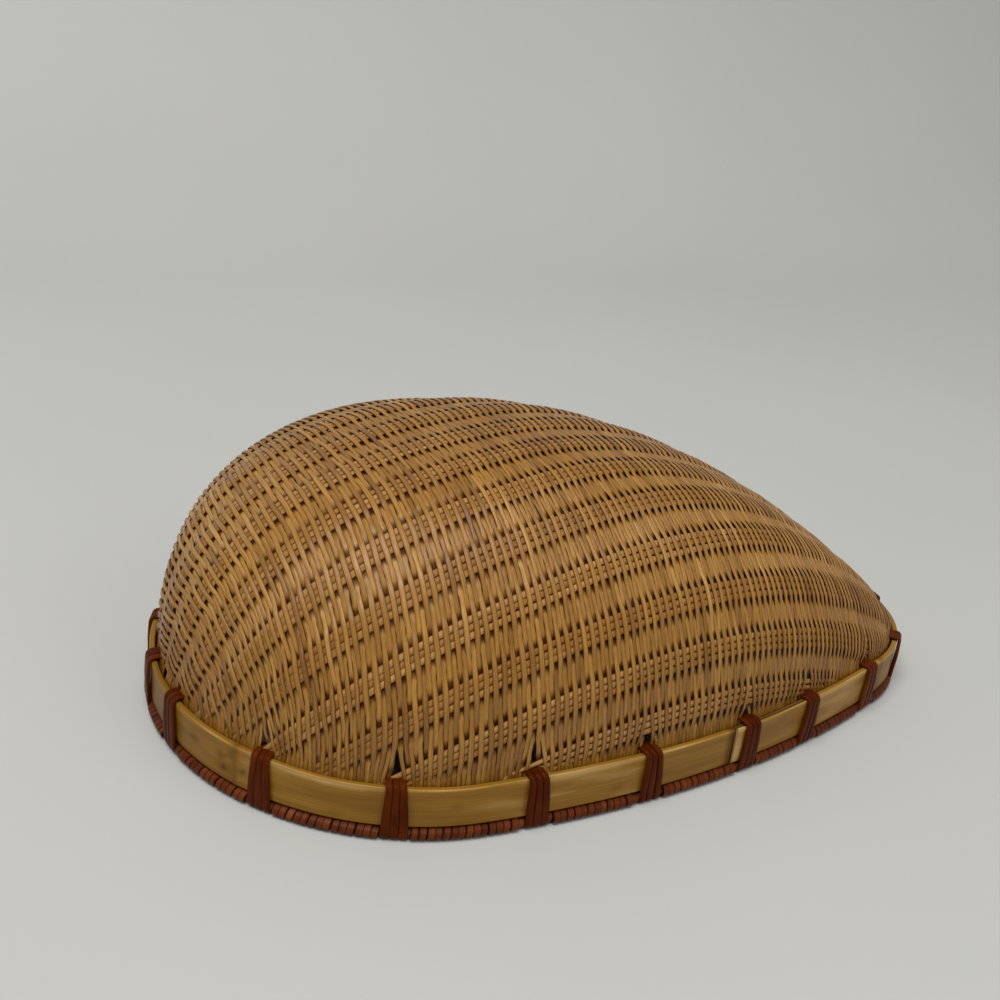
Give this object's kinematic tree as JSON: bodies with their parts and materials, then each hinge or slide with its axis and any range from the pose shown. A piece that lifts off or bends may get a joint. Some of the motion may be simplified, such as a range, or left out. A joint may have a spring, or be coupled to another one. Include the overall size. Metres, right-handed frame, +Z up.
{
  "type": "wicker basket",
  "caption": "Egg-shaped wicker basket: a domed skin of split bamboo strands on rib bundles, gripped by split hoops, with a cane-wound lip and cane lashings round the rim. Stored mouth down.",
  "frame": {"origin": "centre of the outline at the plane the lip stands on", "axes": "+X to the narrow tip, +Y to the back, +Z up to the crest of the dome, mouth down"},
  "size_m": [0.2968, 0.182, 0.1],
  "materials": {
    "weave": "satin split bamboo, honey tan",
    "ribs": "satin bamboo sticks",
    "hoops": "smooth split bamboo, olive tan",
    "cane": "glossy dark cane"
  },
  "bodies": {
    "root": {"woven_skin": "weave", "rib_01": "ribs", "rib_02": "ribs", "rib_03": "ribs", "rib_04": "ribs", "rib_05": "ribs", "rib_06": "ribs", "rib_07": "ribs", "rib_08": "ribs", "rib_09": "ribs", "rib_10": "ribs", "rib_11": "ribs", "rib_12": "ribs", "rib_13": "ribs", "rib_14": "ribs", "rib_15": "ribs", "outer_hoop": "hoops", "inner_hoop": "hoops", "lip": "cane", "lashing_01": "cane", "lashing_02": "cane", "lashing_03": "cane", "lashing_04": "cane", "lashing_05": "cane", "lashing_06": "cane", "lashing_07": "cane", "lashing_08": "cane", "lashing_09": "cane", "lashing_10": "cane", "lashing_11": "cane", "lashing_12": "cane", "lashing_13": "cane", "lashing_14": "cane", "lashing_15": "cane", "lashing_16": "cane", "lashing_17": "cane", "lashing_18": "cane", "lashing_19": "cane", "lashing_20": "cane"}
  },
  "joints": []
}
